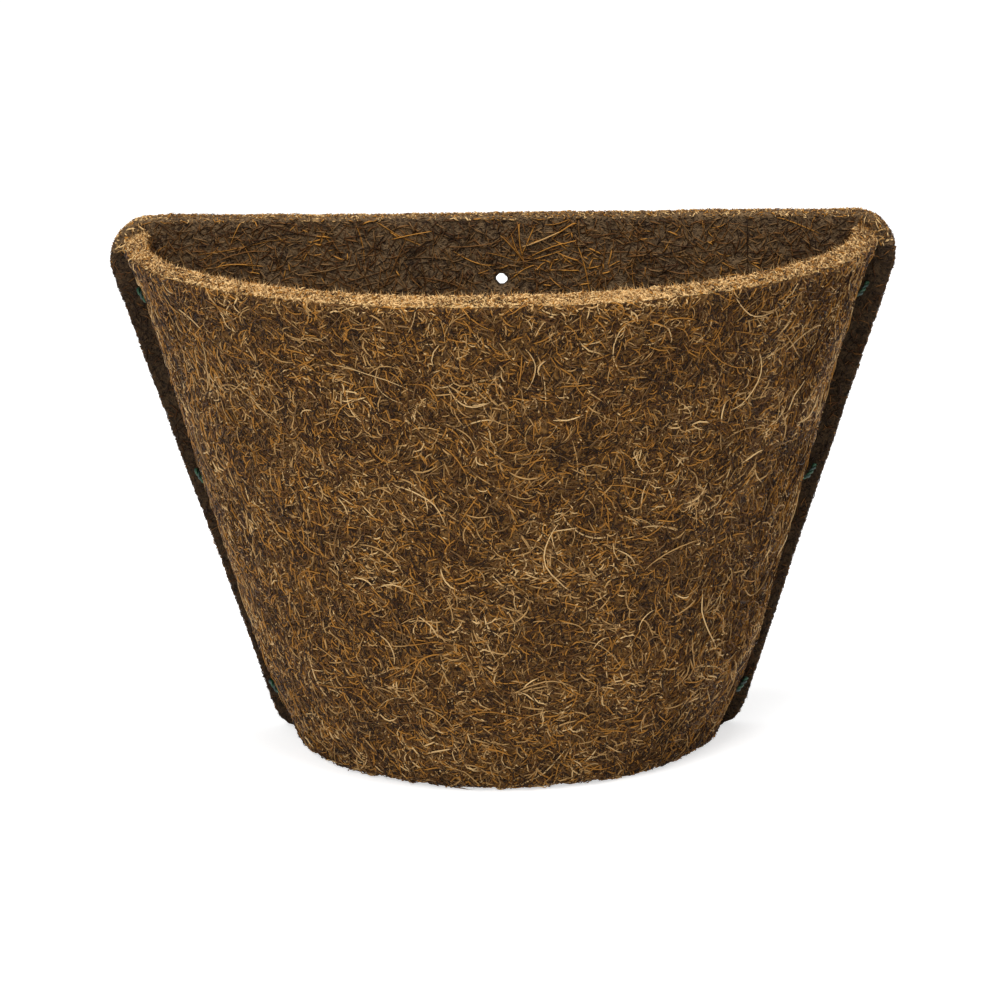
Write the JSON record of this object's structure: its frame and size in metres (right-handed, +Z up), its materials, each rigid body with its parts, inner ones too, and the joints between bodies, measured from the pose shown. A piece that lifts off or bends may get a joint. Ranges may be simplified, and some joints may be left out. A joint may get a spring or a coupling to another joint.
{
  "type": "wall planter",
  "caption": "Half-round wall planter of coir: a tapering moulded pot with a cut rim, tied with green twine to a flat back panel that hangs on a nail.",
  "frame": {"origin": "centre of the hanging hole, on the panel's back face, which lies on the wall", "axes": "+Y into the wall, +Z up, +X to the right as seen from the room; the pot stands out towards -Y"},
  "size_m": [0.2996, 0.151, 0.2035],
  "materials": {
    "coir_shell": "latex-bonded coconut fibre, matt, fibres standing on the surface",
    "coir_panel": "latex-bonded coconut fibre sheet, matt",
    "green_twine": "twisted twine, matt"
  },
  "bodies": {
    "root": {"back_panel": "coir_panel", "front_shell": "coir_shell", "tie_left_upper": "green_twine", "tie_left_middle": "green_twine", "tie_left_lower": "green_twine", "tie_right_upper": "green_twine", "tie_right_middle": "green_twine", "tie_right_lower": "green_twine", "tie_base_left": "green_twine", "tie_base_right": "green_twine"}
  },
  "joints": []
}
